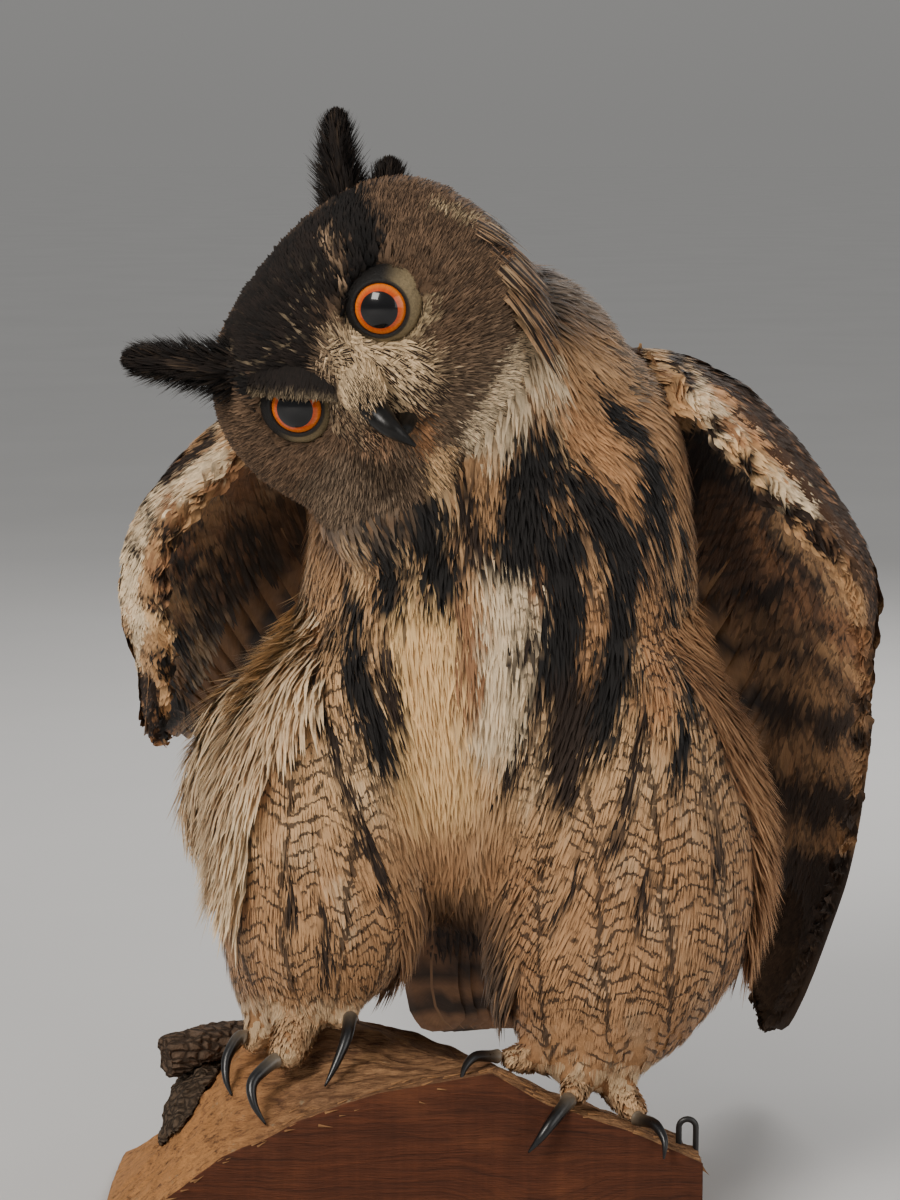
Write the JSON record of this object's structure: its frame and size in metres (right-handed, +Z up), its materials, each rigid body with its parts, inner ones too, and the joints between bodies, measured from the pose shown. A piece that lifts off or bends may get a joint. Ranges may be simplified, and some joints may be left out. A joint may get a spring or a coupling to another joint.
{
  "type": "taxidermy owl",
  "caption": "Mounted eagle-owl with bowed, tilted head, upright ear tufts, drooped wings and feathered feet gripping a sawn half log.",
  "frame": {"origin": "on the flat underside of the log, below the middle of the owl", "axes": "+Z up, the owl faces -Y, its own left side is +X"},
  "size_m": [0.3928, 0.3994, 0.566],
  "materials": {
    "log_wood": "rough sawn, dark red-brown with orange-brown weathered top",
    "bark": "rough grey-brown bark",
    "black_wire": "black satin",
    "head_plumage": "soft matt feathers, speckled",
    "body_plumage": "soft matt feathers with dark streaks",
    "tail_plumage": "barred feathers",
    "tuft_plumage": "near-black feathers",
    "wing_plumage": "mottled and barred feathers",
    "leg_plumage": "soft feathers with thin dark bars",
    "toe_plumage": "short dense pale feathers",
    "talon_horn": "polished dark horn",
    "bill_horn": "dark horn with a dull sheen",
    "eye_glass": "polished glass, orange iris and black pupil"
  },
  "bodies": {
    "root": {"base_bark": "bark", "base_branch_stub": "bark", "base_log": "log_wood", "base_wire_loop": "black_wire", "bill_lower": "bill_horn", "bill_upper": "bill_horn", "ear_tuft_left": "tuft_plumage", "ear_tuft_right": "tuft_plumage", "eye_left": "eye_glass", "eye_right": "eye_glass", "head": "head_plumage", "neck": "body_plumage", "shank_left": "leg_plumage", "shank_right": "leg_plumage", "tail": "tail_plumage", "talon_left_hind": "talon_horn", "talon_left_inner": "talon_horn", "talon_left_middle": "talon_horn", "talon_left_outer": "talon_horn", "talon_right_hind": "talon_horn", "talon_right_inner": "talon_horn", "talon_right_middle": "talon_horn", "talon_right_outer": "talon_horn", "thigh_left": "leg_plumage", "thigh_right": "leg_plumage", "toe_left_hind": "toe_plumage", "toe_left_inner": "toe_plumage", "toe_left_middle": "toe_plumage", "toe_left_outer": "toe_plumage", "toe_right_hind": "toe_plumage", "toe_right_inner": "toe_plumage", "toe_right_middle": "toe_plumage", "toe_right_outer": "toe_plumage", "trunk": "body_plumage", "wing_left_arm": "wing_plumage", "wing_left_forearm": "wing_plumage", "wing_left_hand": "wing_plumage", "wing_right_arm": "wing_plumage", "wing_right_forearm": "wing_plumage", "wing_right_hand": "wing_plumage"}
  },
  "joints": []
}
